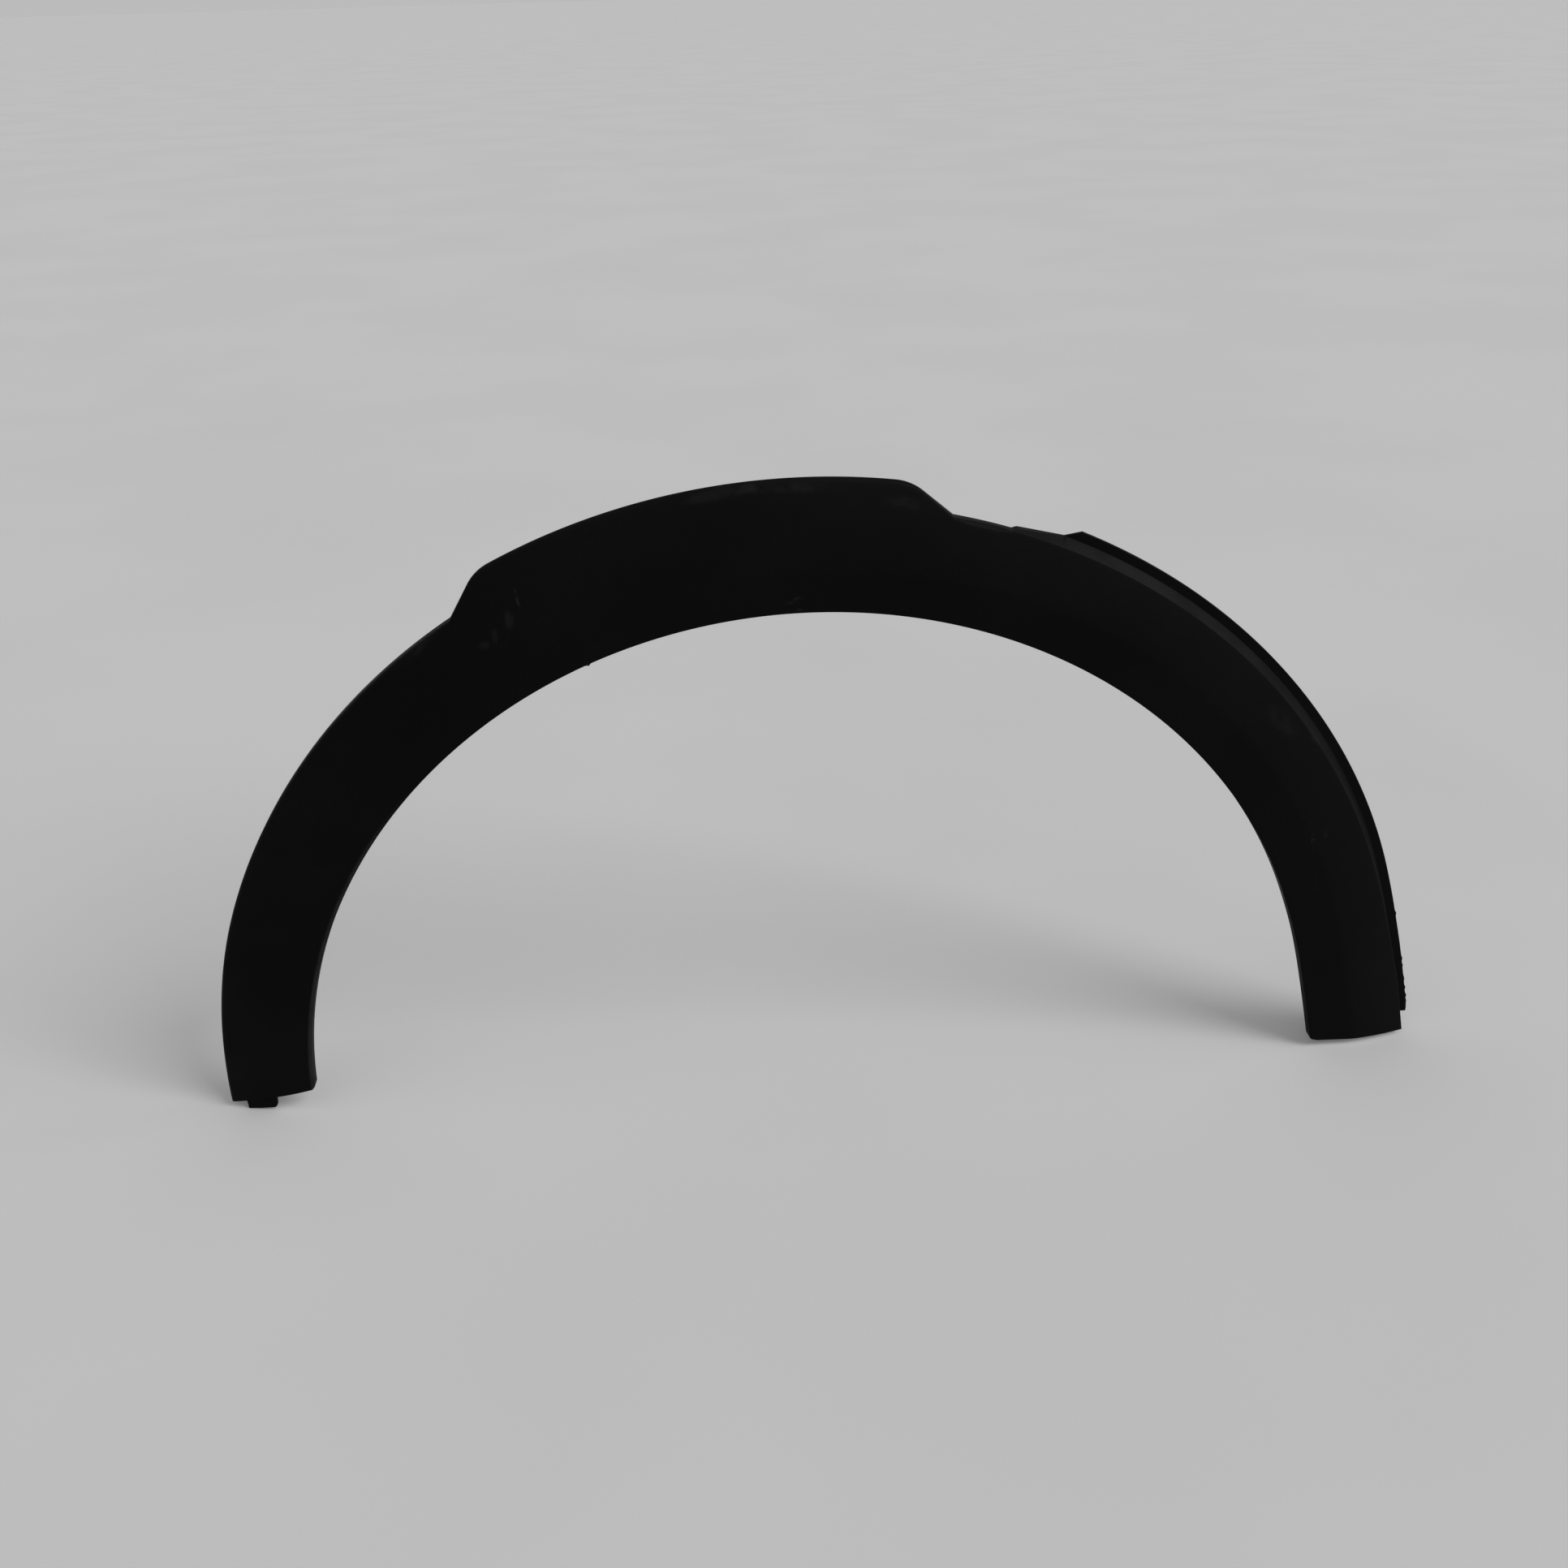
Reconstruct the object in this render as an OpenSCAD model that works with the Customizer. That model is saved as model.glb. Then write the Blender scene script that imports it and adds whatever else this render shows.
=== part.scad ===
// Wheel arch trim: one moulded plastic band that rims the wheel opening of a car body.
// It is drawn lying on its back, with the body side at height 0 and the show side up,
// and then stood upright: X runs along the car, Y goes into the body and Z is up.
// The origin is the centre of the wheel arch, on the plane where the trim meets the body.

/* [Band] */
// Radius of the inner edge, round the wheel
arch_r = 400; // [340:1:460]
// Width of the band from its inner to its outer edge
band_w = 73; // [66:1:85]
// Thickness of the moulded wall
wall = 2.8; // [2:0.1:3.4]
// Height of the inner edge above the body
stand_off = 20; // [18:1:26]
// Width of the flat rim beside the wheel, at the crown
rim_w = 25; // [18:1:34]
// Slope of the face, from the rim down to the body, in degrees
face_slope = 12; // [9:0.5:13]
// How far the face bulges between the rim and the outer edge
face_crown = 1.2; // [0.4:0.1:1.6]
// Lean of the flat rim, which widens it on one leg and narrows it on the other, in degrees
rim_lean = 0.17; // [0:0.01:0.2]
// Direction in which the rim leans back, in degrees up from the horizontal
rim_lean_at = 17; // [0:1:40]
// Depth of the lip that turns back round the wheel opening
lip_depth = 10; // [6:0.5:14]
// Radius along the front of the inner edge
lip_round = 2; // [1:0.1:2.5]
// Radius of the outer edge, where the face rolls back to the body
roll_r = 4.5; // [3.6:0.1:5]

/* [Crown tab] */
// How far the raised tab at the crown reaches past the outer edge
crown_rise = 19; // [14:1:20]
// Angle of the tab's foot nearer the bumper
crown_from = 77; // [74:0.5:84]
// Angle of the tab's foot nearer the sill
crown_to = 121.7; // [112:0.1:126]
// Slant of the tab's ends, measured along the outer edge
crown_slant = 33; // [24:1:40]
// Radius of the tab's two corners
crown_corner = 14; // [8:1:20]

/* [Bumper side] */
// Width of the bevel between the face and the flange
bevel_w = 7.5; // [5:0.5:9]
// Angle at which the bevel starts
bevel_from = 71.8; // [66:0.1:72]
// Length over which the bevel runs in
bevel_run = 36; // [20:1:44]
// Width of the flange that the bumper skin covers
flange_w = 6; // [4:0.5:10]
// Thickness of the flange
flange_t = 2.5; // [1.6:0.1:3]
// Angle at which the flange starts
flange_from = 66.6; // [58:0.1:67]
// Height at which the flange ends
flange_end_z = 15.5; // [12:0.5:40]

/* [Legs] */
// Angle below which the bumper leg runs straight
leg_from = 14; // [10:0.5:20]
// Height of the bumper leg's end at the inner edge
bumper_end_z = 2.8; // [-4:0.2:10]
// Fall of the bumper leg's end towards the outer edge, in degrees
bumper_end_fall = 4.3; // [0:0.1:10]
// Height of the sill leg's end at the inner edge
sill_end_z = 18; // [12:0.5:24]
// Fall of the sill leg's end towards the outer edge, in degrees
sill_end_fall = 13.4; // [8:0.1:16]
// Chamfer at the inner corner of each leg's end
foot_chamfer = 4; // [2:0.5:8]

/* [Sill tongue] */
// Distance of the tongue from the inner edge
tongue_in = 34; // [30:1:38]
// Width of the tongue
tongue_w = 26; // [16:1:26]
// Height of the tongue's end
tongue_z = -4; // [-12:0.5:-2]
// Thickness of the tongue
tongue_t = 2.4; // [1.6:0.1:3]
// Radius of the tongue's corner
tongue_round = 4; // [2:0.5:6]

/* [Clip towers] */
// Angles of the towers above the horizontal, each on both legs
tower_angles = [26, 47, 66, 84];
// Distance of the towers' holes from the inner edge
tower_in = 38; // [34:1:42]
// Length of a tower along the band
tower_l = 24; // [20:1:30]
// Width of a tower across the band
tower_w = 20; // [18:1:24]
// Height at which the clips seat, above the body
seat_h = 3; // [1.5:0.5:4]
// Thickness of the seat
seat_t = 2.2; // [1.6:0.1:3]
// Diameter of the clip hole
clip_hole_d = 8.5; // [6:0.5:10]

/* [Ribs] */
// Thickness of the ribs
rib_t = 1.6; // [1.2:0.1:2.2]
// Clearance between the ribs and the body
rib_h = 6; // [4:0.5:8]

/* [Hidden] */
$fn = 96;

outer_r = arch_r + band_w;
rim_r = arch_r + rim_w;
crown_r = outer_r + crown_rise;
bevel_r = outer_r + bevel_w;
flange_r = bevel_r + flange_w;
// Straight steps in the face's curve, in the crown tab's face and in a rounded edge
face_steps = 8;
tab_steps = 2;
round_steps = 4;
// Width of the rim's innermost strip, which is swept with the lip
lip_strip = rim_w / 3;
// Angle past the end of the sill leg that the sweep reaches before it is trimmed
sweep_to = 184;
leg_l = 150;
// Anything larger than the trim
beyond = 2 * (outer_r + leg_l);
// How far a cutting body reaches past what it cuts
over = 1;
// How deep added pieces sink into the wall that carries them
sink = wall / 2;
// Angle by which a sweep reaches past the outline that trims it
slack = 6;
// Angles between which the tongue's face is swept
tongue_sweep = [170, 190];
// How far the tongue's root reaches up behind the face, past the leg's end
tongue_root = 14;
// How much the tongue narrows on its outer and on its inner side
tongue_taper_out = 3;
tongue_taper_in = 2;
// How much higher the tongue's inner corner lies than its outer one
tongue_slant = 1;

// Height of the face above the body at radius r, set back by the depth inset
function face_h(r, inset = 0) =
    let (x = (r - rim_r) / (outer_r - rim_r))
    stand_off - (r - rim_r) * tan(face_slope) + 4 * face_crown * x * (1 - x) - inset / cos(face_slope);

// Steepness of the face at radius r, in degrees
function face_steep(r) =
    let (x = (r - rim_r) / (outer_r - rim_r))
    atan(tan(face_slope) - 4 * face_crown * (1 - 2 * x) / (outer_r - rim_r));

function polar(r, a) = [r * cos(a), r * sin(a)];

// Angle that an arc of length l takes up at radius r
function arc_angle(l, r) = l / r * 180 / PI;

function arc(centre, r, a0, a1, steps) =
    [for (i = [0:steps]) centre + polar(r, a0 + (a1 - a0) * i / steps)];

// Sweeps a section round the arch
module sweep_round(from, to = sweep_to) {
    rotate_extrude(angle = to - from, start = from)
        children();
}

// Sweeps a section round the arch and straight down the bumper leg
module sweep_band(to = sweep_to, l = leg_l) {
    rotate([0, 0, leg_from]) {
        sweep_round(0, to - leg_from)
            children();
        rotate([90, 0, 0])
            linear_extrude(l)
                children();
    }
}

// Points of the face from the inner to the outer edge, and from there to the end of the crown tab
function face_points(r0, r1, steps, inset) =
    [for (i = [0:steps]) let (r = r0 + (r1 - r0) * i / steps) [r, face_h(r, inset)]];
function band_points(inset) = face_points(arch_r + sink, outer_r - inset, face_steps, inset);
function tab_points(inset) = face_points(outer_r - inset, crown_r - inset, tab_steps, inset);

// A room that is cut out of another one reaches a little below the body's plane
function room_foot(inset) = inset > 0 ? -over : 0;

// Section of the room under the face, from the first point out to the last one
module section_under(points, inset) {
    first = points[0];
    last = points[len(points) - 1];
    polygon(concat(
        [[first[0], room_foot(inset)]],
        points,
        [[last[0], room_foot(inset)]]
    ));
}

module band_section(inset) {
    section_under(band_points(inset), inset);
}

module tab_section(inset) {
    section_under(concat(band_points(inset), tab_points(inset)), inset);
}

// Section on the bumper side, where the face ends in a bevel
module bevel_section(inset) {
    steep = face_steep(outer_r);
    drop = face_h(outer_r) - flange_t;
    bevel_steep = atan2(drop, bevel_w);
    mid = (steep + bevel_steep) / 2;
    set_in = inset / cos((bevel_steep - steep) / 2);
    corner = [outer_r - set_in * sin(mid), face_h(outer_r) - set_in * cos(mid)];
    foot = inset > 0 ? room_foot(inset) : flange_t;
    section_under(concat(
        band_points(inset),
        inset > 0 ? [corner] : [],
        [[corner[0] + (corner[1] - foot) * bevel_w / drop, foot]]
    ), inset);
}

// Places things in the plane of the flat rim, with height 0 on its show side
module on_rim() {
    translate([0, 0, stand_off])
        rotate(rim_lean, [-sin(rim_lean_at), cos(rim_lean_at), 0])
            children();
}

// Half space behind the flat rim
module behind_rim(inset) {
    on_rim()
        translate([-beyond, -beyond, -beyond - inset])
            cube([2 * beyond, 2 * beyond, beyond]);
}

// Outline of the crown tab seen from the front, with its walls set in by inset
function tab_foot(a) = polar(outer_r, a);
function tab_tip(a, way) = polar(crown_r, a + way * arc_angle(crown_slant, outer_r));
function unit(v) = v / norm(v);
function tab_normal(a, way) =
    let (e = unit(tab_tip(a, way) - tab_foot(a)))
    way * [-e[1], e[0]];

// Centre of the round corner, which touches the tab's slanted end and its outer arc
function tab_centre(a, way) =
    let (
        e = unit(tab_tip(a, way) - tab_foot(a)),
        p = tab_foot(a) + crown_corner * tab_normal(a, way),
        b = p * e,
        c = p * p - pow(crown_r - crown_corner, 2)
    )
    p + (sqrt(b * b - c) - b) * e;

function tab_corner(a, way, inset) =
    let (
        q = tab_centre(a, way),
        n = tab_normal(a, way),
        a0 = atan2(-n[1], -n[0]),
        a1 = atan2(q[1], q[0]),
        turn = (a1 - a0 + 540) % 360 - 180
    )
    arc(q, crown_corner - inset, a0, a0 + turn, 2 * round_steps);

module tab_outline(inset) {
    // The slanted ends run on into the band by this share of their length
    inward = 1.5;
    low = tab_corner(crown_from, 1, inset);
    high = tab_corner(crown_to, -1, inset);
    low_end = low[len(low) - 1];
    high_end = high[len(high) - 1];
    low_way = unit([-low_end[1], low_end[0]]);
    high_way = unit([high_end[1], -high_end[0]]);
    low_foot = tab_foot(crown_from) + inset * tab_normal(crown_from, 1);
    high_foot = tab_foot(crown_to) + inset * tab_normal(crown_to, -1);
    low_in = low_foot - inward * (low[0] - low_foot);
    high_in = high_foot - inward * (high[0] - high_foot);
    polygon(concat(
        [low_in],
        low,
        [low_end + crown_rise * low_way],
        [polar(crown_r + crown_rise, (crown_from + crown_to) / 2)],
        [high_end + crown_rise * high_way],
        [for (i = [len(high) - 1:-1:0]) high[i]],
        [high_in]
    ));
}

// Outline of the stretch that carries the bevel, from its slanted start to the leg's end
module bevel_outline(inset) {
    foot = polar(outer_r, bevel_from);
    full = polar(bevel_r, bevel_from - arc_angle(bevel_run, outer_r));
    // Its direction is inwards, towards the wheel
    n = unit([full[1] - foot[1], foot[0] - full[0]]);
    polygon([
        [outer_r / 2, foot[1] - beyond],
        foot - (full - foot) + inset * n,
        full + (full - foot) + inset * n,
        [2 * outer_r, full[1]],
        [2 * outer_r, foot[1] - beyond]
    ]);
}

// The solid room between the body and the show side, set in by inset
module room(inset) {
    foot_h = room_foot(inset) - over;
    intersection() {
        union() {
            sweep_band()
                band_section(inset);
            intersection() {
                sweep_round(crown_from - slack, crown_to + slack)
                    tab_section(inset);
                translate([0, 0, foot_h])
                    linear_extrude(2 * stand_off)
                        tab_outline(inset);
            }
            intersection() {
                sweep_band(bevel_from + slack)
                    bevel_section(inset);
                translate([0, 0, foot_h])
                    linear_extrude(2 * stand_off)
                        bevel_outline(inset);
            }
        }
        behind_rim(inset);
    }
}

// Section of what is taken off an outer edge at radius r_out, so that the face rolls over it
module roll_section(r_out) {
    touch = face_steep(r_out - roll_r);
    r_c = r_out - roll_r;
    h_c = face_h(r_c + roll_r * sin(touch)) - roll_r * cos(touch);
    polygon(concat(
        arc([r_c, h_c], roll_r, 90 - touch, 0, round_steps),
        [[r_out + over, h_c], [r_out + over, stand_off], [r_c, stand_off]]
    ));
}

module edge_rolls() {
    difference() {
        sweep_round(bevel_from - slack)
            roll_section(outer_r);
        translate([0, 0, -over])
            linear_extrude(2 * stand_off + over)
                tab_outline(0);
        translate([0, 0, -over])
            linear_extrude(2 * stand_off + over)
                bevel_outline(0);
    }
    sweep_round(crown_from, crown_to)
        roll_section(crown_r);
}

// Slot that opens the face wall's inner end, where the lip's strip closes it
module inner_end() {
    sweep_band()
        translate([arch_r, -over])
            square([lip_strip / 2 + sink, 2 * stand_off]);
}

// The moulded wall of the face and of the outer edge, open at the back and at the inner end
module face_wall() {
    difference() {
        room(0);
        room(wall);
        inner_end();
        edge_rolls();
    }
}

// Section of the lip that turns back from the rim, with the rim's innermost strip
module lip_section() {
    strip_r = arch_r + lip_strip;
    polygon(concat(
        [[strip_r, -wall], [strip_r, 0]],
        arc([arch_r + lip_round, -lip_round], lip_round, 90, 180, round_steps),
        [[arch_r, -lip_depth], [arch_r + wall, -lip_depth], [arch_r + wall, -wall]]
    ));
}

module lip() {
    on_rim()
        sweep_band(sweep_to + over, leg_l + over)
            lip_section();
}

module flange() {
    difference() {
        sweep_band(flange_from)
            translate([bevel_r - wall, 0])
                square([flange_r - bevel_r + wall, flange_t]);
        translate([flange_r - beyond / 2, flange_end_z - beyond, -over])
            cube([beyond, beyond, flange_t + 2 * over]);
    }
}

// What is cut off below a leg's end, with its inner corner at the origin and the leg to the right
module below_end() {
    clear = 2 * foot_chamfer;
    translate([0, 0, -over])
        linear_extrude(2 * stand_off)
            polygon([
                [-clear, -beyond],
                [-clear, foot_chamfer + clear],
                [foot_chamfer, 0],
                [beyond, 0],
                [beyond, -beyond]
            ]);
}

module below_bumper_end() {
    x_in = (arch_r - bumper_end_z * sin(leg_from)) / cos(leg_from);
    translate([x_in, bumper_end_z, 0])
        rotate([0, 0, -bumper_end_fall])
            below_end();
}

module below_sill_end() {
    x_in = -sqrt(arch_r * arch_r - sill_end_z * sill_end_z);
    translate([x_in, sill_end_z, 0])
        rotate([0, 0, sill_end_fall])
            mirror([1, 0, 0])
                below_end();
}

// Cuts the two legs off at their ends
module cut_ends() {
    difference() {
        children();
        below_bumper_end();
        below_sill_end();
    }
}

// Tongue that tucks behind the sill trim, set back by the wall's thickness
module tongue() {
    x_out = -(arch_r + tongue_in + tongue_w);
    x_in = -(arch_r + tongue_in);
    root_z = sill_end_z + tongue_root;
    round_z = tongue_z + tongue_round + tongue_slant;
    intersection() {
        difference() {
            sweep_tongue(wall - sink / 2);
            sweep_tongue(wall + tongue_t);
        }
        linear_extrude(stand_off)
            polygon(concat(
                [[x_out, root_z], [x_out + tongue_taper_out, tongue_z]],
                arc([x_in - tongue_round, round_z], tongue_round, 270, 360, round_steps),
                [[x_in + tongue_taper_in, root_z]]
            ));
    }
}

module sweep_tongue(inset) {
    intersection() {
        sweep_round(tongue_sweep[0], tongue_sweep[1])
            band_section(inset);
        behind_rim(inset);
    }
}

// Angles on the bumper side, with the same ones on the sill side
function both_legs(angles) = [for (a = angles) each [a, 180 - a]];
function tower_places() = both_legs(tower_angles);

// Box-shaped tower with a seat for a push-in clip, open across the band for the tooling
module tower(a) {
    rotate([0, 0, a])
        translate([arch_r + tower_in, 0, 0]) {
            translate([-tower_w / 2, -tower_l / 2, seat_h])
                cube([tower_w, tower_l, seat_t]);
            for (side = [-1, 1])
                translate([-tower_w / 2, side * (tower_l - rib_t) / 2 - rib_t / 2, seat_h])
                    cube([tower_w, rib_t, stand_off]);
        }
}

module clip_hole(a) {
    rotate([0, 0, a])
        translate([arch_r + tower_in, 0, seat_h - over])
            cylinder(d = clip_hole_d, h = seat_t + 2 * over);
}

// Radial rib from wall to wall, at angle a
module rib(a, shift = 0) {
    rotate([0, 0, a])
        translate([arch_r, shift - rib_t / 2, rib_h])
            cube([crown_r - arch_r, rib_t, stand_off]);
}

// Ribs beside each tower and halfway between the towers
module ribs() {
    between = [for (i = [1:len(tower_angles) - 1]) (tower_angles[i - 1] + tower_angles[i]) / 2];
    for (a = tower_places())
        for (side = [-1, 1])
            rib(a, side * (tower_l - rib_t) / 2);
    for (a = both_legs(between))
        rib(a);
}

// Ribs and clip towers, which end inside the moulded wall
module back_structure() {
    difference() {
        intersection() {
            room(sink);
            union() {
                for (a = tower_places())
                    tower(a);
                ribs();
            }
        }
        for (a = tower_places())
            clip_hole(a);
    }
}

module arch_trim() {
    color([0.055, 0.055, 0.06])
        rotate([90, 0, 0]) {
            cut_ends()
                face_wall();
            cut_ends()
                lip();
            cut_ends()
                flange();
            back_structure();
            tongue();
        }
}

arch_trim();
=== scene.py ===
"""Wheel arch trim: moulded shell, ribbed back and grained plastic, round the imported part.

Sizes are in millimetres, in the part's frame: X along the car, Y into the body, Z up, with the
origin at the centre of the wheel arch. A height is measured from the body's plane towards the
viewer, so a height h lies at Y = -h. Angles are in degrees round the arch, from the bumper side
over the crown.
"""

from __future__ import annotations

import logging
import math
from dataclasses import dataclass
from enum import Enum

import bmesh
import bpy
from mathutils import Matrix, Vector

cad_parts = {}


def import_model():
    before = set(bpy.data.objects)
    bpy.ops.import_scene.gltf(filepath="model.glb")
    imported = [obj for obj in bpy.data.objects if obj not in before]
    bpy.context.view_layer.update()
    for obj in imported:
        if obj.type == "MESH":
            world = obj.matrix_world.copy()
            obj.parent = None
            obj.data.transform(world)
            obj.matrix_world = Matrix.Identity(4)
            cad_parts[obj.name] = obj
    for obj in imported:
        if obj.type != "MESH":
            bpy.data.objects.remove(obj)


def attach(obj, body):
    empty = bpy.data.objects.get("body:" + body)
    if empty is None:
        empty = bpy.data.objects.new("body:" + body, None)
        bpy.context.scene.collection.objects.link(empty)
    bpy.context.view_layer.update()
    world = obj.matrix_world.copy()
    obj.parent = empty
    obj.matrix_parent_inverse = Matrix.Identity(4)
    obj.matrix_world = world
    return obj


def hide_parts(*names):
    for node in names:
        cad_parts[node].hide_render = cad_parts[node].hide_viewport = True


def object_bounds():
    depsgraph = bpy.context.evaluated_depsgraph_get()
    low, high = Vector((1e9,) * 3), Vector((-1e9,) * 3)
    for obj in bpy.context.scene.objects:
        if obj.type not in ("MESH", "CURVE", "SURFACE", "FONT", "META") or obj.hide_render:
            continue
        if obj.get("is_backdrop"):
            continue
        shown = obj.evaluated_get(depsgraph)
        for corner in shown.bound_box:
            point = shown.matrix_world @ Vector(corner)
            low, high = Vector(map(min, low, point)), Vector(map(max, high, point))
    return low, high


LOG = logging.getLogger("wheel_arch_trim")
MM = 0.001
NODE = "arch_trim"
BODY = "root"
HALVINGS = 30
SectionPoint = tuple[float, float]
Span = tuple[float, float]
Colour = tuple[float, float, float]
Socket = bpy.types.NodeSocket


def direction(angle: float) -> Vector:
    """Returns the unit vector (x, z) at an angle round the arch."""
    return Vector((math.cos(math.radians(angle)), math.sin(math.radians(angle))))


def angle_of(point: Vector) -> float:
    """Returns the angle round the arch of a point (x, z), in degrees."""
    return math.degrees(math.atan2(point.y, point.x))


def cross(a: Vector, b: Vector) -> float:
    """Returns the cross product of two plane vectors."""
    return a.x * b.y - a.y * b.x


def eased(share: float) -> float:
    """Returns a share of 0 to 1 with a smooth start and a smooth end."""
    return share**2 * (3 - 2 * share)


def line_radius(start: Vector, end: Vector, angle: float, inset: float) -> float:
    """Gives the radius at which a straight outline crosses an angle.

    Args:
        start: A point of the outline (x, z).
        end: Another one, at a smaller angle.
        angle: Angle round the arch.
        inset: How far the outline is set in.

    Returns:
        The radius.
    """
    along = end - start
    inward = Vector((along.y, -along.x)).normalized()
    return cross(start + inset * inward, along) / cross(direction(angle), along)


def soft_min(a: float, b: float, width: float) -> float:
    """Returns the smaller of two heights, with the crease between them rounded.

    Args:
        a: First height.
        b: Second height.
        width: How much the crease is softened, as a height.

    Returns:
        The smaller height, eased where the two are nearly the same.
    """
    return 0.5 * (a + b - math.sqrt((a - b) ** 2 + width**2))


def rounded(
    before: Vector, corner: Vector, after: Vector, radius: float, steps: int
) -> list[Vector]:
    """Rounds a corner of a section with an arc that touches both its sides.

    Args:
        before: A point on the side that leads to the corner.
        corner: The corner itself.
        after: The end of the side that leaves the corner.
        radius: Radius of the arc, made smaller where a side is too short for it.
        steps: Number of straight steps in the arc.

    Returns:
        The arc's points, one more than its steps.
    """
    nearly_all, shortest = 0.98, 1e-6
    back, on = before - corner, after - corner
    side = min(back.length, on.length)
    if side < shortest:
        return [corner.copy() for _ in range(steps + 1)]
    back, on = back / back.length, on / on.length
    half = 0.5 * math.acos(max(-1.0, min(1.0, back.dot(on))))
    touch = min(radius / math.tan(half), nearly_all * side)
    true_radius = touch * math.tan(half)
    centre = corner + (back + on).normalized() * math.hypot(touch, true_radius)
    start, end = corner + back * touch - centre, corner + on * touch - centre
    turn = math.atan2(cross(start, end), start.dot(end))
    points = []
    for i in range(steps + 1):
        c, s = math.cos(turn * i / steps), math.sin(turn * i / steps)
        points.append(centre + Vector((start.x * c - start.y * s, start.x * s + start.y * c)))
    return points


def add_band(
    mesh: bmesh.types.BMesh, ring: list[bmesh.types.BMVert], after: list[bmesh.types.BMVert]
) -> None:
    """Joins two rings with a closed band of faces.

    Args:
        mesh: The mesh that takes the faces.
        ring: Corners of the first ring.
        after: Corners of the second ring, as many.
    """
    for i, corner in enumerate(ring):
        j = (i + 1) % len(ring)
        mesh.faces.new((corner, ring[j], after[j], after[i]))


def add_plate(mesh: bmesh.types.BMesh, near: list[Vector], far: list[Vector]) -> None:
    """Adds a closed plate between two outlines.

    Args:
        mesh: The mesh that takes it.
        near: Points of the first outline, in metres.
        far: Points of the second outline, as many.
    """
    front = [mesh.verts.new(at) for at in near]
    back = [mesh.verts.new(at) for at in far]
    mesh.faces.new(front)
    mesh.faces.new(list(reversed(back)))
    add_band(mesh, front, back)


@dataclass(frozen=True)
class TabEnd:
    """One slanted end of the crown tab, with the round corner above it."""

    foot: Vector
    along: Vector
    inward: Vector
    centre: Vector
    corner: float
    way: int

    def limit(self, angle: float, inset: float) -> float:
        """Gives how far out this end of the tab lets the outline go.

        Args:
            angle: Angle round the arch.
            inset: How far the outline is set in, which is the wall for its inner side.

        Returns:
            The radius, or infinity past the round corner.
        """
        ray = direction(angle)
        radius = self.corner - inset
        straight_to = angle_of(self.centre - radius * self.inward)
        if self.way * (angle - straight_to) < 0:
            return cross(self.foot + inset * self.inward, self.along) / cross(ray, self.along)
        if self.way * (angle - angle_of(self.centre)) < 0:
            near = ray.dot(self.centre)
            return near + math.sqrt(near**2 - self.centre.length_squared + radius**2)
        return math.inf

    def breaks(self) -> list[float]:
        """Returns the angles at which the outline changes from one curve to the next."""
        return [
            angle_of(self.foot),
            angle_of(self.centre - self.corner * self.inward),
            angle_of(self.centre),
        ]


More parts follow.
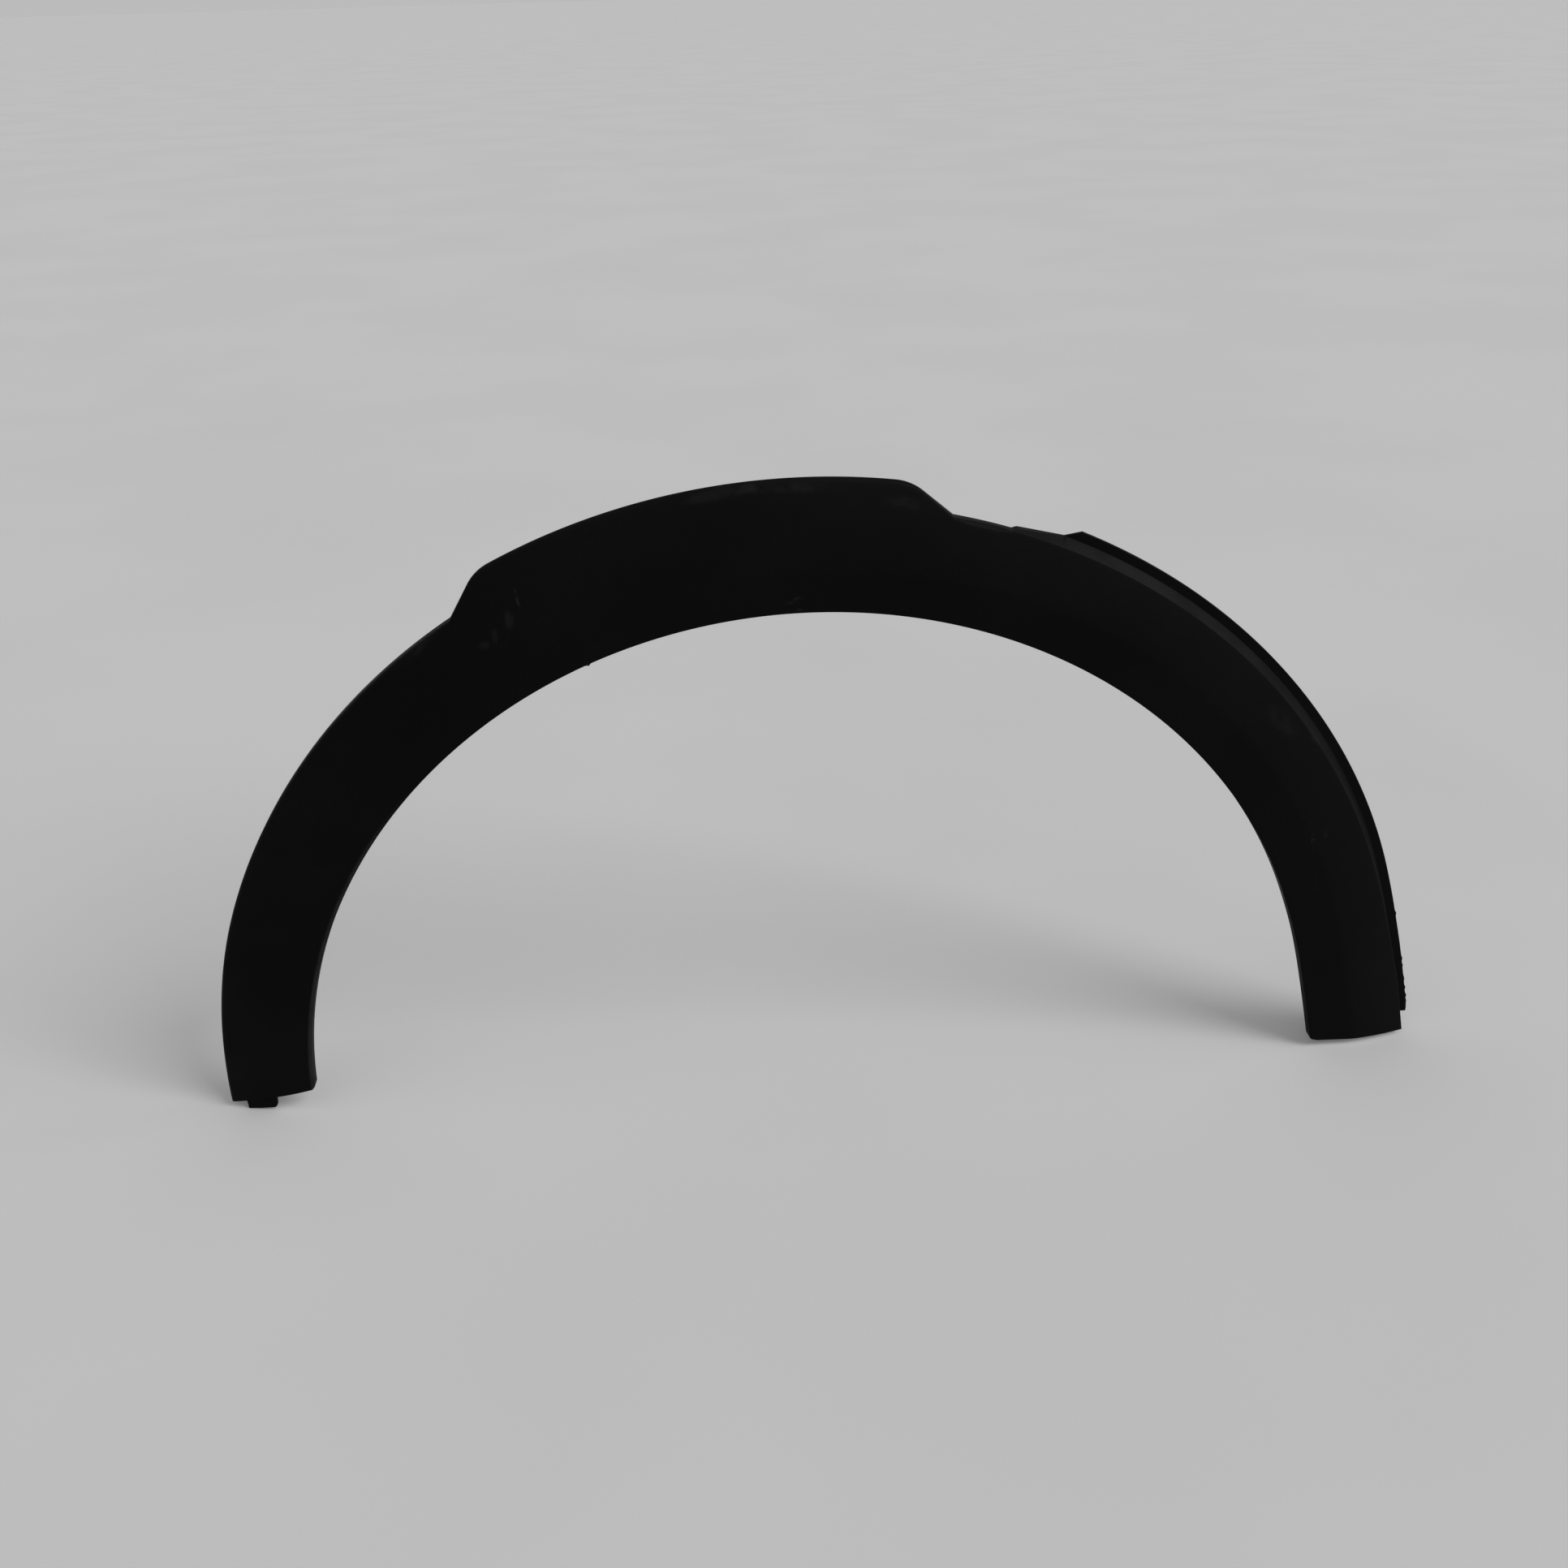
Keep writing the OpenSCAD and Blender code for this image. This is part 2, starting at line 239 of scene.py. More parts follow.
@dataclass(frozen=True)
class ArchForm:
    """Sizes and curves of the trim, which every part of it follows."""

    arch_r: float = 400.0
    band_w: float = 73.0
    wall: float = 2.8
    stand_off: float = 20.0
    rim_w: float = 25.0
    face_slope: float = 12.0
    face_crown: float = 1.2
    rim_lean: float = 0.17
    rim_lean_at: float = 17.0
    crease: float = 0.3
    crown_rise: float = 18.9
    crown_from: float = 77.0
    crown_to: float = 121.7
    crown_slant: float = 33.0
    crown_corner: float = 38.0
    bevel_w: float = 6.5
    bevel_from: float = 71.8
    bevel_knee: float = 71.4
    bevel_knee_w: float = 2.0
    bevel_full: float = 67.2
    bevel_fade_z: Span = (300.0, 50.0)
    bevel_fade: float = 0.99
    flange_w: float = 7.0
    flange_t: float = 2.5
    flange_full: float = 65.9
    flange_end_z: float = 15.5

    @property
    def outer_r(self) -> float:
        """Returns the radius of the band's outer edge."""
        return self.arch_r + self.band_w

    @property
    def rim_r(self) -> float:
        """Returns the radius at which the flat rim ends at the crown."""
        return self.arch_r + self.rim_w

    @property
    def crown_r(self) -> float:
        """Returns the radius of the crown tab's top."""
        return self.outer_r + self.crown_rise

    @property
    def bevel_r(self) -> float:
        """Returns the radius of the bevel's foot."""
        return self.outer_r + self.bevel_w

    @property
    def flange_r(self) -> float:
        """Returns the radius of the flange's edge."""
        return self.bevel_r + self.flange_w

    def face_end(self, z: float) -> float:
        """Gives the radius at which the face meets the bevel, which narrows down the leg.

        Args:
            z: Height above the centre of the arch.

        Returns:
            The radius.
        """
        top, low = self.bevel_fade_z
        share = max(0.0, min(1.0, (top - z) / (top - low)))
        return self.outer_r + self.bevel_fade * self.bevel_w * share**2

    def face_height(self, r: float, inset: float = 0.0) -> float:
        """Gives the height of the sloping face.

        Args:
            r: Radius from the centre of the arch.
            inset: Depth below the show side.

        Returns:
            The height above the body's plane.
        """
        slope = math.radians(self.face_slope)
        share = (r - self.rim_r) / (self.outer_r - self.rim_r)
        bulge = 4 * self.face_crown * share * (1 - share)
        return self.stand_off - (r - self.rim_r) * math.tan(slope) + bulge - inset / math.cos(slope)

    def face_steep(self, r: float) -> float:
        """Gives how steeply the face falls.

        Args:
            r: Radius from the centre of the arch.

        Returns:
            The angle, in radians.
        """
        length = self.outer_r - self.rim_r
        bulge = 4 * self.face_crown * (1 - 2 * (r - self.rim_r) / length) / length
        return math.atan(math.tan(math.radians(self.face_slope)) - bulge)

    def rim_height(self, at: Vector, inset: float = 0.0) -> float:
        """Returns the height of the flat rim's plane at a point (x, z)."""
        across = at.dot(direction(self.rim_lean_at))
        return self.stand_off - math.tan(math.radians(self.rim_lean)) * across - inset

    def show_height(self, r: float, at: Vector, inset: float = 0.0) -> float:
        """Gives the height of the show side, or of a surface below it.

        Args:
            r: Radius from the centre of the arch.
            at: The point (x, z) itself.
            inset: Depth below the show side.

        Returns:
            The height above the body's plane.
        """
        return soft_min(self.rim_height(at, inset), self.face_height(r, inset), self.crease)

    def tab_end(self, foot_angle: float, way: int) -> TabEnd:
        """Lays out one end of the crown tab.

        Args:
            foot_angle: Angle at which the slanted end leaves the band.
            way: 1 where the tab lies at larger angles, and -1 where it lies at smaller ones.

        Returns:
            The end, with its round corner.
        """
        foot = self.outer_r * direction(foot_angle)
        slant = math.degrees(self.crown_slant / self.outer_r)
        along = (self.crown_r * direction(foot_angle + way * slant) - foot).normalized()
        inward = way * Vector((-along.y, along.x))
        start = foot + self.crown_corner * inward
        reach = start.dot(along)
        room = start.length_squared - (self.crown_r - self.crown_corner) ** 2
        centre = start + (math.sqrt(reach**2 - room) - reach) * along
        return TabEnd(foot, along, inward, centre, self.crown_corner, way)

    def tab_ends(self) -> tuple[TabEnd, TabEnd]:
        """Returns the crown tab's two ends, the one nearer the bumper first."""
        return self.tab_end(self.crown_from, 1), self.tab_end(self.crown_to, -1)

    def edge_radius(self, angle: float, inset: float = 0.0) -> float:
        """Gives the outline's radius, which the crown tab raises.

        Args:
            angle: Angle round the arch.
            inset: How far the outline is set in.

        Returns:
            The radius at which the face ends.
        """
        band = self.outer_r - inset
        if not self.crown_from < angle < self.crown_to:
            return band
        low, high = self.tab_ends()
        tab = min(low.limit(angle, inset), high.limit(angle, inset), self.crown_r - inset)
        return max(band, tab)

    def bevel_clip(self, angle: float, inset: float = 0.0) -> float:
        """Gives how far out the bevel reaches where it runs in.

        Args:
            angle: Angle round the arch.
            inset: How far the bevel's outline is set in.

        Returns:
            The radius, or infinity where the bevel has its full width.
        """
        if angle < self.flange_full:
            return math.inf
        start = self.outer_r * direction(self.bevel_from)
        knee = (self.outer_r + self.bevel_knee_w) * direction(self.bevel_knee)
        end = self.bevel_r * direction(self.bevel_full)
        return min(line_radius(start, knee, angle, inset), line_radius(knee, end, angle, inset))

    def flange_edge(self, angle: float) -> float:
        """Gives where the flange's edge lies, which starts on a slant.

        Args:
            angle: Angle round the arch.

        Returns:
            The radius.
        """
        if angle < self.flange_full:
            return self.flange_r
        start = self.bevel_r * direction(self.bevel_full)
        return line_radius(start, self.flange_r * direction(self.flange_full), angle, 0.0)


class Lane(Enum):
    """The stretch of the trim that a station lies in."""

    ARCH = "arch"
    SILL_END = "sill end"
    LEG = "leg"


@dataclass(frozen=True)
class Station:
    """One cross-section's place along the trim.

    At the sill end, slide is the share of the way to the slanted end. In the straight leg it is the
    distance below the leg's start at the inner edge, and turn is the section's tilt.
    """

    lane: Lane
    angle: float
    slide: float = 0.0
    turn: float = 0.0
    flange: bool = False


@dataclass(frozen=True)
class BandPath:
    """Places the points of a section along the arch, down the leg and to the two slanted ends."""

    form: ArchForm
    leg_from: float = 14.0
    bumper_end_z: float = 3.0
    bumper_end_fall: float = 1.7
    bow: float = 1.9
    bow_z: Span = (150.0, 72.0)
    bow_fade: float = 0.8
    reach_x: float = 497.4
    sill_end_z: float = 17.3
    sill_end_fall: float = 11.9
    sill_taper: float = 2.1
    sill_taper_from_z: float = 180.0
    foot_chamfer: float = 2.2
    step: float = 0.75
    fine_step: float = 0.15
    leg_step: float = 1.25
    end_steps: int = 12
    sill_blend_from: float = 168.0
    burr_at: Span = (112.0, 113.2)
    flange_gap: float = 0.01

    def raise_at(self, r: float) -> float:
        """Returns how much the chamfer at a leg's inner corner lifts the end at a radius."""
        return max(0.0, self.foot_chamfer - (r - self.form.arch_r))

    def sill_cut(self, r: float) -> float:
        """Gives where the slanted sill end cuts a radius.

        Args:
            r: Radius from the centre of the arch.

        Returns:
            The angle round the arch.
        """
        fall = math.tan(math.radians(self.sill_end_fall))
        inner_x = math.sqrt(self.form.arch_r**2 - self.sill_end_z**2)
        level = (self.sill_end_z + fall * inner_x) / (r * math.hypot(1, fall))
        above = math.asin(level) - math.atan(fall) + self.raise_at(r) / r
        return 180 - math.degrees(above)

    def leg_slide(self, z: float) -> float:
        """Returns the distance below the leg's start of a height on the inner edge."""
        start = math.radians(self.leg_from)
        return (self.form.arch_r * math.sin(start) - z) / math.cos(start)

    def bowed(self, at: Vector) -> Vector:
        """Moves a point of the bumper leg out, as the leg is bowed a little.

        Args:
            at: A point (x, z) of the plain leg.

        Returns:
            The point on the bowed leg.
        """
        top, middle = self.bow_z
        if at.y > top or at.x < 0:
            return at
        share = (top - at.y) / (top - middle)
        share = eased(share) if share < 1 else 1 - self.bow_fade * (share - 1) ** 2
        return Vector((min(at.x + self.bow * share, self.reach_x), at.y))

    def tapered(self, at: Vector, r: float) -> Vector:
        """Draws in a point of the sill leg's outer side, as the leg narrows a little at its foot.

        Args:
            at: A point (x, z) of the plain leg.
            r: Radius from the centre of the arch.

        Returns:
            The point on the narrowed leg.
        """
        if at.y > self.sill_taper_from_z or at.x > 0:
            return at
        share = eased(1 - at.y / self.sill_taper_from_z)
        across = (r - self.form.arch_r) / self.form.band_w
        return Vector((at.x + self.sill_taper * share * across, at.y))

    def place(self, station: Station, r: float) -> Vector:
        """Gives the point (x, z) of a section at a radius.

        Args:
            station: Where the section lies.
            r: Radius from the centre of the arch, or distance across the leg.

        Returns:
            The point in the plane of the arch.
        """
        if station.lane is Lane.ARCH:
            return self.tapered(self.bowed(r * direction(station.angle)), r)
        if station.lane is Lane.SILL_END:
            angle = station.angle + station.slide * (self.sill_cut(r) - station.angle)
            return self.tapered(r * direction(angle), r)
        across = r - self.form.arch_r
        down = station.slide + across * math.tan(math.radians(self.leg_from - station.turn))
        last = self.leg_slide(self.bumper_end_z)
        tilt = math.radians(self.leg_from + self.bumper_end_fall)
        down = min(down, last + across * math.tan(tilt) - self.raise_at(r))
        start = direction(self.leg_from)
        return self.bowed(r * start + down * Vector((start.y, -start.x)))

    def arch_angles(self) -> list[float]:
        """Lays out the sections round the arch.

        Returns:
            Their angles, from the sill side to the leg.
        """
        form, margin = self.form, 1.0
        low, high = form.tab_ends()
        exact = [*low.breaks(), *high.breaks()]
        exact += [form.bevel_from, form.bevel_knee, form.bevel_full, form.flange_full]
        fine = [
            (form.flange_full - margin, low.breaks()[-1] + margin),
            (high.breaks()[-1] - margin, form.crown_to + 2 * margin),
            self.burr_at,
        ]
        angles, angle = list(exact), self.sill_blend_from
        while angle > self.leg_from + self.fine_step:
            angles.append(angle)
            inside = any(start < angle < end for start, end in fine)
            angle -= self.fine_step if inside else self.step
        near = 0.25 * self.fine_step
        return [
            angle
            for angle in sorted(angles, reverse=True)
            if angle in exact or all(abs(e - angle) >= near for e in exact)
        ]

    def stations(self) -> list[Station]:
        """Lays out every section, from the sill end round the arch to the bumper end.

        Returns:
            The stations in order.
        """
        form = self.form
        made = [
            Station(Lane.SILL_END, self.sill_blend_from, 1 - i / self.end_steps)
            for i in range(self.end_steps)
        ]
        for angle in self.arch_angles():
            made.append(Station(Lane.ARCH, angle, flange=angle < form.bevel_full))
        top = form.arch_r * math.sin(math.radians(self.leg_from))
        count = round((top - form.flange_end_z) / self.leg_step)
        for i in range(count + 1):
            share = i / count
            z = top + share * (form.flange_end_z + self.flange_gap - top)
            turn = self.leg_from * (1 - share)
            made.append(Station(Lane.LEG, self.leg_from, self.leg_slide(z), turn, True))
        for i in range(self.end_steps + 1):
            share = i / self.end_steps
            z = form.flange_end_z + share * (self.bumper_end_z - form.flange_end_z)
            turn = -self.bumper_end_fall * share
            made.append(Station(Lane.LEG, self.leg_from, self.leg_slide(z), turn))
        return made


@dataclass(frozen=True)
class Burr:
    """A small bump or notch in an edge, at a distance z above the arch's centre or at an angle."""

    at: float
    size: float
    width: float

    def lift(self, at: float) -> float:
        """Returns how far the edge stands out at a place."""
        return self.size * math.exp(-(((at - self.at) / self.width) ** 2))


@dataclass(frozen=True)
class BackWall:
    """The inner side of the outer wall at one station, plain unless it follows the bevel."""

    plain_r: float
    corner_r: float = 0.0
    corner_h: float = 0.0
    lean: float = 0.0
    clip: float = math.inf

    def radius(self, height: float) -> float:
        """Returns the radius of the wall's inner side at a height."""
        slanted = self.corner_r + max(0.0, self.corner_h - height) * self.lean
        return max(self.plain_r, min(slanted, self.clip))


@dataclass
class TrimShell:
    """The moulded shell: lip, rim, face, crown tab, bevel, flange and the wall behind."""

    form: ArchForm
    path: BandPath
    lip_depth: float = 10.0
    lip_round: float = 1.0
    roll_r: float = 4.5
    tab_end_roll_r: float = 1.5
    bevel_corner_r: float = 1.2
    inner_round: float = 1.0
    flange_break: float = 0.5
    roll_ease: float = 1.4
    round_steps: int = 6
    rim_samples: int = 7
    crease_samples: int = 5
    crease_reach: float = 2.5
    face_samples: int = 16
    wall_shares: tuple[float, ...] = (0.75, 0.5, 0.25, 0.0)
    corner_side: float = 10.0
    weld: float = 0.002
    flange_burrs: tuple[Burr, ...] = (
        Burr(112.0, 0.8, 1.6),
        Burr(68.0, 0.7, 1.6),
        Burr(61.0, 0.5, 1.3),
        Burr(48.0, 0.6, 2.2),
        Burr(39.0, 0.8, 1.5),
        Burr(31.0, 0.9, 1.8),
        Burr(25.5, 0.6, 1.2),
    )
    lip_burr: Burr = Burr(112.6, 1.2, 0.16)

    def crease_radius(self, station: Station) -> float:
        """Finds where the flat rim meets the sloping face.

        Args:
            station: Where the section lies.

        Returns:
            The radius of the crease.
        """
        form = self.form
        low, high = form.arch_r + self.lip_round, form.outer_r
        for _ in range(HALVINGS):
            mid = 0.5 * (low + high)
            if form.face_height(mid) > form.rim_height(self.path.place(station, mid)):
                low = mid
            else:
                high = mid
        return low

    def roll(self, station: Station) -> float:
        """Gives the outer edge's rounding, sharper at the tab's ends and the bevel.

        Args:
            station: Where the section lies.

        Returns:
            The radius of the rounding.
        """
        form, angle = self.form, station.angle
        if self.bevelled(station):
            return self.bevel_corner_r
        low, high = form.tab_ends()
        if angle < form.crown_from:
            inside = min(angle - form.bevel_from, form.crown_from - angle)
        elif angle > form.crown_to:
            inside = angle - form.crown_to
        else:
            inside = min(angle - low.breaks()[1], high.breaks()[1] - angle)
        share = max(0.0, min(1.0, inside / self.roll_ease))
        return self.tab_end_roll_r + share * (self.roll_r - self.tab_end_roll_r)

    def radii(self, start: float, crease: float, end: float) -> list[float]:
        """Spreads sample radii over the rim and the face, closely round the crease.

        Args:
            start: Radius at which the rim starts.
            crease: Radius of the crease.
            end: Radius at which the face ends.

        Returns:
            The radii, without start and end themselves.
        """
        reach = min(self.crease_reach, 0.5 * (crease - start))
        marks = [(start, crease - reach, self.rim_samples)]
        marks.append((crease - reach, crease + reach, self.crease_samples))
        marks.append((crease + reach, end, self.face_samples))
        radii = []
        for a, b, count in marks:
            radii += [a + (b - a) * i / count for i in range(count)]
        return radii[1:]

    def outer_path(self, station: Station, crease: float) -> list[SectionPoint]:
        """Draws the show side of a section, from the lip's back edge to the body.

        Args:
            station: Where the section lies.
            crease: Radius of the crease between rim and face.

        Returns:
            Points (radius, height), always the same number.
        """
        form, path = self.form, self.path
        lip_r = form.arch_r - self.lip_burr.lift(station.angle)
        start = form.arch_r + self.lip_round
        rim = form.rim_height(path.place(station, form.arch_r))
        points = [(lip_r, rim - self.lip_depth)]
        points += self.quarter(start, start - lip_r, rim, self.lip_round)
        edge = self.edge(station)
        corner = Vector((edge, form.face_height(edge)))
        foot = self.foot(station, corner)
        arc = rounded(self.before(corner), corner, foot, self.roll(station), self.round_steps)
        for r in self.radii(start, crease, arc[0].x):
            points.append((r, form.show_height(r, path.place(station, r))))
        points += [(p.x, p.y) for p in arc]
        return points + self.edge_wall(station, arc[-1], foot)

    def quarter(self, r: float, reach: float, top: float, fall: float) -> list[SectionPoint]:
        """Draws the quarter round at the lip, from its side up to the rim.

        Args:
            r: Radius at which the round meets the rim.
            reach: Width of the round.
            top: Height of the rim.
            fall: Height of the round.

        Returns:
            Points (radius, height).
        """
        turns = [math.radians(180 - 90 * i / self.round_steps) for i in range(self.round_steps + 1)]
        return [(r + reach * math.cos(t), top - fall * (1 - math.sin(t))) for t in turns]

    def before(self, corner: Vector) -> Vector:
        """Returns a point of the face's line that leads to its outer corner."""
        steep = self.form.face_steep(corner.x)
        return corner + self.corner_side * Vector((-math.cos(steep), math.sin(steep)))

    def edge(self, station: Station) -> float:
        """Gives where a section's face ends.

        Args:
            station: Where the section lies.

        Returns:
            The radius.
        """
        if self.bevelled(station):
            return self.form.face_end(self.path.place(station, self.form.outer_r).y)
        if station.lane is Lane.ARCH:
            return self.form.edge_radius(station.angle)
        return self.form.outer_r

    def bevelled(self, station: Station) -> bool:
        """Tells whether a section has the bevel."""
        if station.lane is Lane.LEG:
            return True
        return station.lane is Lane.ARCH and station.angle < self.form.bevel_from

    def bevel_edge(self, station: Station, inset: float = 0.0) -> float:
        """Gives how far out the bevel may reach.

        Args:
            station: Where the section lies.
            inset: How far the bevel's outline is set in.

        Returns:
            The radius.
        """
        full = self.form.bevel_r
        if station.lane is Lane.LEG:
            return full if inset == 0 else math.inf
        clip = self.form.bevel_clip(station.angle, inset)
        return min(full, clip) if inset == 0 else clip

    def foot(self, station: Station, corner: Vector) -> Vector:
        """Gives the end of the side that leaves the face's outer corner.

        Args:
            station: Where the section lies.
            corner: The face's outer corner.

        Returns:
            The bevel's foot, or the foot of the plain outer wall.
        """
        if not self.bevelled(station):
            return Vector((corner.x, 0.0))
        slope = (corner.y - self.form.flange_t) / (self.form.bevel_r - corner.x)
        out = self.bevel_edge(station)
        return Vector((out, corner.y - (out - corner.x) * slope))

    def edge_wall(self, station: Station, last: Vector, foot: Vector) -> list[SectionPoint]:
        """Draws what lies below the outer corner: a plain wall, or the bevel's foot and flange.

        Args:
            station: Where the section lies.
            last: The last point of the rounded corner.
            foot: The end of the bevel or of the plain wall.

        Returns:
            Four points, the last one on the body.
        """
        form = self.form
        if not self.bevelled(station):
            return [(last.x, last.y * share) for share in self.wall_shares]
        if not station.flange:
            return [(foot.x, foot.y * share) for share in (1.0, 0.66, 0.33, 0.0)]
        edge = form.flange_r
        if station.lane is Lane.ARCH:
            edge = form.flange_edge(station.angle)
        z = self.path.place(station, edge).y
        edge += sum(burr.lift(z) for burr in self.flange_burrs)
        broken = min(self.flange_break, 0.5 * (edge - foot.x))
        top = form.flange_t
        return [(foot.x, foot.y), (edge - broken, top), (edge, top - broken), (edge, 0.0)]

    def inner_path(self, station: Station, crease: float) -> list[SectionPoint]:
        """Draws the back of a section, from the lip's back edge to the body.

        Args:
            station: Where the section lies.
            crease: Radius of the crease between rim and face.

        Returns:
            Points (radius, height), as many as the show side has.
        """
        form, path = self.form, self.path
        wall, small = form.wall, self.inner_round
        rim = form.rim_height(path.place(station, form.arch_r))
        start = form.arch_r + wall + small
        points = [(form.arch_r + wall, rim - self.lip_depth)]
        points += self.quarter(start, small, rim - wall, small)
        back = self.back_wall(station)
        corner = Vector((back.radius(form.stand_off), 0.0))
        corner.y = form.show_height(corner.x, path.place(station, corner.x), wall)
        below = corner.y - 2 * small
        after = Vector((back.radius(below), below))
        arc = rounded(self.before(corner), corner, after, small, self.round_steps)
        for r in self.radii(start, crease, arc[0].x):
            points.append((r, form.show_height(r, path.place(station, r), wall)))
        points += [(p.x, p.y) for p in arc]
        low = [arc[-1].y * share for share in self.wall_shares]
        return points + [(back.radius(height), height) for height in low]

    def back_wall(self, station: Station) -> BackWall:
        """Gives the inner side of the outer wall at a station.

        Args:
            station: Where the section lies.

        Returns:
            The inner side.
        """
        form = self.form
        wall = form.wall
        if station.lane is Lane.SILL_END:
            return BackWall(form.outer_r - wall)
        if not self.bevelled(station):
            return BackWall(form.edge_radius(station.angle, wall))
        edge = self.edge(station)
        steep = form.face_steep(edge)
        drop = form.face_height(edge) - form.flange_t
        run = form.bevel_r - edge
        bevel_steep = math.atan2(drop, run)
        mid = 0.5 * (steep + bevel_steep)
        set_in = wall / math.cos(0.5 * (bevel_steep - steep))
        return BackWall(
            plain_r=form.outer_r - wall,
            corner_r=edge - set_in * math.sin(mid),
            corner_h=form.face_height(edge) - set_in * math.cos(mid),
            lean=run / drop,
            clip=self.bevel_edge(station, wall),
        )

    def build(self) -> bmesh.types.BMesh:
        """Sweeps the section along the trim and closes both ends.

        Returns:
            A closed mesh, in metres.
        """
        mesh = bmesh.new()
        rings = []
        for station in self.path.stations():
            crease = self.crease_radius(station)
            outer = self.outer_path(station, crease)
            inner = self.inner_path(station, crease)
            ring = []
            for r, height in [*outer, *reversed(inner)]:
                at = self.path.place(station, r)
                ring.append(mesh.verts.new((at.x * MM, -height * MM, at.y * MM)))
            rings.append(ring)
        for ring, after in zip(rings, rings[1:]):
            add_band(mesh, ring, after)
        for ring in (rings[0], rings[-1]):
            for i in range(len(ring) // 2 - 1):
                mesh.faces.new((ring[i], ring[i + 1], ring[-2 - i], ring[-1 - i]))
        bmesh.ops.remove_doubles(mesh, verts=mesh.verts, dist=self.weld * MM)
        bmesh.ops.dissolve_degenerate(mesh, edges=mesh.edges, dist=0.05 * self.weld * MM)
        bmesh.ops.recalc_face_normals(mesh, faces=mesh.faces)
        return mesh


@dataclass
class RibbedBack:
    """The ribs and the clip towers behind the face, and the tongue at the sill end."""

    form: ArchForm
    tower_angles: tuple[float, ...] = (26.0, 47.0, 66.0, 84.0)
    tower_in: float = 38.0
    tower_l: float = 24.0
    tower_w: float = 20.0
    seat_h: float = 3.0
    seat_t: float = 2.2
    clip_hole_d: float = 8.5
    hole_edge: float = 0.3
    rib_t: float = 1.6
    rib_h: float = 6.0
    rib_samples: int = 14
    side_samples: int = 10
    tongue_in: float = 32.5
    tongue_w: float = 27.6
    tongue_z: float = -4.0
    tongue_t: float = 2.4
    tongue_round: float = 4.0
    tongue_root_z: float = 32.0
    tongue_taper_out: float = 3.0
    tongue_taper_in: float = 2.0
    tongue_slant: float = 2.6
    tongue_steps: int = 6

    @property
    def sink(self) -> float:
        """Returns how deep the ribs end inside the wall that carries them."""
        return 0.5 * self.form.wall

    def both_legs(self, angles: list[float]) -> list[float]:
        """Returns angles on the bumper side together with the same ones on the sill side."""
        return [*angles, *(180 - angle for angle in angles)]

    def to_frame(self, angle: float, r: float, aside: float, height: float) -> Vector:
        """Places a point of a rib or tower.

        Args:
            angle: Angle of the rib or tower round the arch.
            r: Distance out along that direction.
            aside: Distance across it.
            height: Height above the body's plane.

        Returns:
            The point in the part's frame, in metres.
        """
        out = direction(angle)
        at = r * out + aside * Vector((-out.y, out.x))
        return Vector((at.x, -height, at.y)) * MM

    def rib_outline(self, angle: float, shift: float, stepped: bool) -> list[SectionPoint]:
        """Draws a rib from the side.

        Args:
            angle: Angle of the rib round the arch.
            shift: Distance of the rib's middle from that direction.
            stepped: Whether the rib also carries a clip seat, and is deeper there.

        Returns:
            Points (distance out, height) round the rib.
        """
        form = self.form
        start = form.arch_r + self.sink
        edge = form.edge_radius(angle + math.degrees(shift / form.outer_r), self.sink)
        end = math.sqrt(edge**2 - shift**2)
        low = [(start, self.rib_h)]
        if stepped:
            near = form.arch_r + self.tower_in - self.tower_w / 2
            far = near + self.tower_w
            low += [(near, self.rib_h), (near, self.seat_h), (far, self.seat_h), (far, self.rib_h)]
        meets_low_side = self.top(angle, end, shift) <= self.rib_h
        if meets_low_side:
            inside, outside = start, end
            for _ in range(HALVINGS):
                mid = 0.5 * (inside + outside)
                if self.top(angle, mid, shift) > self.rib_h:
                    inside = mid
                else:
                    outside = mid
            end = inside
        low.append((end, self.rib_h))
        high = []
        for i in range(int(meets_low_side), self.rib_samples + 1):
            r = end + (start - end) * i / self.rib_samples
            high.append((r, self.top(angle, r, shift)))
        return low + high

    def top(self, angle: float, r: float, shift: float) -> float:
        """Gives where a rib ends inside the face's wall.

        Args:
            angle: Angle of the rib round the arch.
            r: Distance out along that direction.
            shift: Distance across it.

        Returns:
            The height above the body's plane.
        """
        out = direction(angle)
        at = r * out + shift * Vector((-out.y, out.x))
        return self.form.show_height(at.length, at, self.sink)

    def add_rib(self, mesh: bmesh.types.BMesh, angle: float, shift: float, stepped: bool) -> None:
        """Adds one rib as a closed plate.

        Args:
            mesh: The mesh that takes it.
            angle: Angle of the rib round the arch.
            shift: Distance of the rib's middle from that direction.
            stepped: Whether the rib also carries a clip seat.
        """
        outline = self.rib_outline(angle, shift, stepped)
        half = self.rib_t / 2
        sides = [
            [self.to_frame(angle, r, shift + way * half, height) for r, height in outline]
            for way in (-1, 1)
        ]
        add_plate(mesh, *sides)

    def seat_sides(self) -> list[SectionPoint]:
        """Lays out points round a clip seat's edge.

        Returns:
            The points, as distances from the hole's middle.
        """
        half_w = self.tower_w / 2
        half_l = (self.tower_l - self.rib_t) / 2
        corners = [(-half_w, -half_l), (half_w, -half_l), (half_w, half_l), (-half_w, half_l)]
        points = []
        for (ax, ay), (bx, by) in zip(corners, corners[1:] + corners[:1]):
            for i in range(self.side_samples):
                share = i / self.side_samples
                points.append((ax + (bx - ax) * share, ay + (by - ay) * share))
        return points

